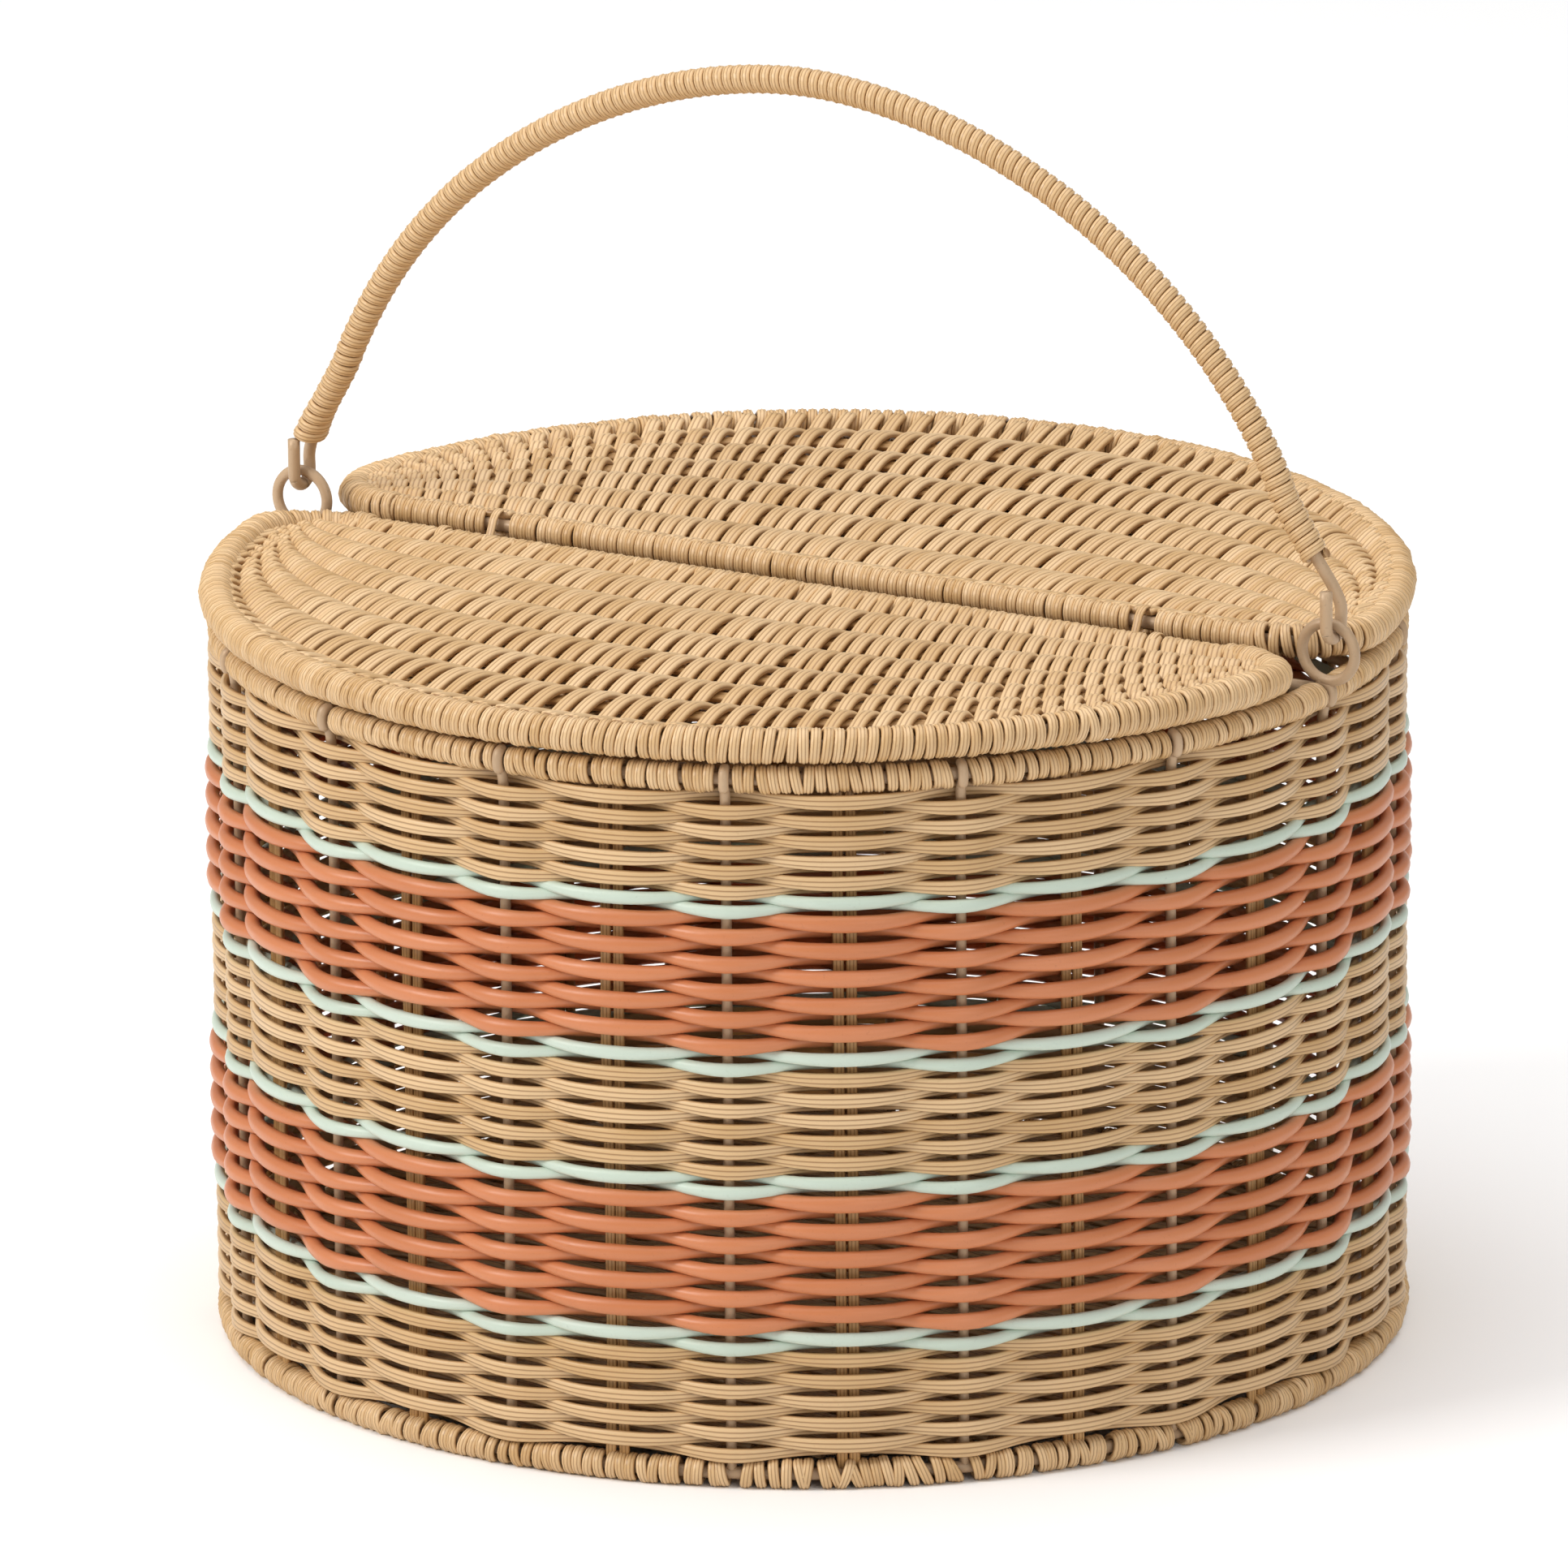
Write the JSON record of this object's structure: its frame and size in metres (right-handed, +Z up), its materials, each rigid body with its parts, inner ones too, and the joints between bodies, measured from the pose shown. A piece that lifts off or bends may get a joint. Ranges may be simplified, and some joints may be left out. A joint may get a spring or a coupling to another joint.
{
  "type": "wicker basket",
  "caption": "Round woven picnic basket on a wire frame, with D-shaped lids hinged on a centre crossbar and an arched bail handle hooked into wire eyes.",
  "frame": {"origin": "on the ground at the centre of the round base", "axes": "+Z up; X along the crossbar, the lid bars and the handle; -Y is the front lid"},
  "size_m": [0.394, 0.3812, 0.403],
  "materials": {
    "natural_strand": "ribbed straw-coloured extruded strand with a soft sheen",
    "stake_strand": "ribbed extruded strand, a browner straw",
    "coral_strand": "smooth round extruded strand, satin",
    "mint_strand": "smooth round extruded strand, satin",
    "frame_wire": "tan-coated steel wire, satin"
  },
  "bodies": {
    "basket": {"steel_frame": "frame_wire", "crossbar": "frame_wire", "floor_wires": "frame_wire", "floor_weave": "natural_strand", "base_ring_wrap": "natural_strand", "top_ring_wrap_front": "natural_strand", "top_ring_wrap_back": "natural_strand", "stake_pair_01": "stake_strand", "stake_pair_02": "stake_strand", "stake_pair_03": "stake_strand", "stake_pair_04": "stake_strand", "stake_pair_05": "stake_strand", "stake_pair_06": "stake_strand", "stake_pair_07": "stake_strand", "stake_pair_08": "stake_strand", "stake_pair_09": "stake_strand", "stake_pair_10": "stake_strand", "stake_pair_11": "stake_strand", "stake_pair_12": "stake_strand", "stake_pair_13": "stake_strand", "stake_pair_14": "stake_strand", "stake_pair_15": "stake_strand", "stake_pair_16": "stake_strand", "weave_natural_base": "natural_strand", "weave_mint_1": "mint_strand", "weave_coral_lower": "coral_strand", "weave_mint_2": "mint_strand", "weave_natural_middle": "natural_strand", "weave_mint_3": "mint_strand", "weave_coral_upper": "coral_strand", "weave_mint_4": "mint_strand", "weave_natural_top": "natural_strand", "eye_left": "frame_wire", "eye_right": "frame_wire", "hinge_tie_front_a": "natural_strand", "hinge_tie_front_b": "natural_strand", "hinge_tie_back_a": "natural_strand", "hinge_tie_back_b": "natural_strand"},
    "front_lid": {"lid_front_frame": "frame_wire", "lid_front_rim_wrap": "natural_strand", "lid_front_bar_wrap": "natural_strand", "lid_front_weave": "natural_strand", "lid_front_stake_1": "stake_strand", "lid_front_stake_2": "stake_strand", "lid_front_stake_3": "stake_strand", "lid_front_stake_4": "stake_strand", "lid_front_stake_5": "stake_strand", "lid_front_stake_6": "stake_strand"},
    "back_lid": {"lid_back_frame": "frame_wire", "lid_back_rim_wrap": "natural_strand", "lid_back_bar_wrap": "natural_strand", "lid_back_weave": "natural_strand", "lid_back_stake_1": "stake_strand", "lid_back_stake_2": "stake_strand", "lid_back_stake_3": "stake_strand", "lid_back_stake_4": "stake_strand", "lid_back_stake_5": "stake_strand", "lid_back_stake_6": "stake_strand"},
    "handle": {"handle_wire": "frame_wire", "handle_wrap": "natural_strand"}
  },
  "joints": [
    {"name": "handle_swing", "type": "hinge", "parent": "basket", "child": "handle", "pos_m": [0, 0, 0.249], "axis": [1, 0, 0], "range_deg": [-90, 90]},
    {"name": "front_lid_hinge", "type": "hinge", "parent": "basket", "child": "front_lid", "pos_m": [0, -0.0072, 0.2348], "axis": [-1, 0, 0], "range_deg": [0, 75]},
    {"name": "back_lid_hinge", "type": "hinge", "parent": "basket", "child": "back_lid", "pos_m": [0, 0.0072, 0.2384], "axis": [1, 0, 0], "range_deg": [0, 75]}
  ]
}
